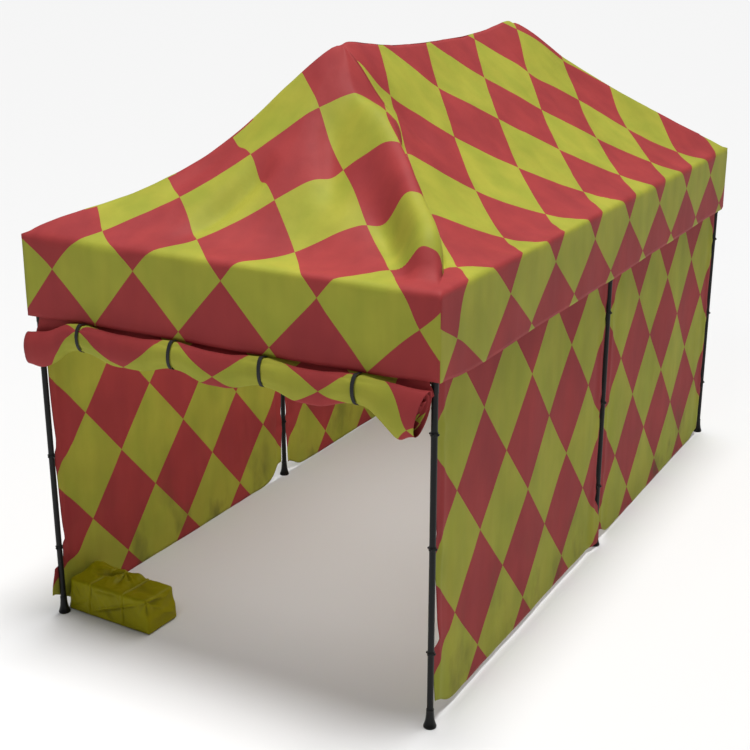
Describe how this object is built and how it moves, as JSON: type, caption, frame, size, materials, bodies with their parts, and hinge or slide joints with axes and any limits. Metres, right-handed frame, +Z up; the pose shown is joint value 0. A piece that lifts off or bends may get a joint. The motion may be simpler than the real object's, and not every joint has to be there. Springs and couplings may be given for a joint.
{
  "type": "canopy tent",
  "caption": "Rectangular canopy tent on sectional poles, with a two-peaked harlequin roof, valance, tied side walls and a front door rolled up in straps.",
  "frame": {"origin": "on the floor, at the centre of the tent's plan", "axes": "+Z up; -Y towards the open front with the rolled door; +X towards the right when facing the back"},
  "size_m": [3.05, 5.9999, 3.9412],
  "materials": {
    "poles": "satin black powder coat",
    "fittings": "matte black moulded nylon",
    "feet": "matte black rubber",
    "canopy_cloth": "red and yellow harlequin woven cloth",
    "wall_cloth": "red and yellow harlequin woven cloth, slightly soiled near the hem",
    "webbing": "black woven webbing",
    "bag_cloth": "olive woven cloth"
  },
  "bodies": {
    "root": {"leg_front_right": "poles", "foot_front_right": "feet", "block_front_right": "fittings", "leg_front_left": "poles", "foot_front_left": "feet", "block_front_left": "fittings", "leg_middle_right": "poles", "foot_middle_right": "feet", "block_middle_right": "fittings", "leg_middle_left": "poles", "foot_middle_left": "feet", "block_middle_left": "fittings", "leg_back_right": "poles", "foot_back_right": "feet", "block_back_right": "fittings", "leg_back_left": "poles", "foot_back_left": "feet", "block_back_left": "fittings", "rail_front": "poles", "rail_middle": "poles", "rail_back": "poles", "rail_right_front": "poles", "rail_right_back": "poles", "rail_left_front": "poles", "rail_left_back": "poles", "cross_beam_front": "poles", "cross_beam_back": "poles", "king_post_front": "poles", "king_post_back": "poles", "roof_right": "canopy_cloth", "roof_left": "canopy_cloth", "roof_front": "canopy_cloth", "roof_back": "canopy_cloth", "valance_right": "canopy_cloth", "valance_left": "canopy_cloth", "valance_front": "canopy_cloth", "valance_back": "canopy_cloth", "wall_right_front": "wall_cloth", "wall_right_back": "wall_cloth", "wall_left_front": "wall_cloth", "wall_left_back": "wall_cloth", "wall_back": "wall_cloth", "door_roll": "wall_cloth", "door_hanging": "wall_cloth", "door_strap_1": "webbing", "door_strap_2": "webbing", "door_strap_3": "webbing", "door_strap_4": "webbing", "carry_bag": "bag_cloth"}
  },
  "joints": []
}
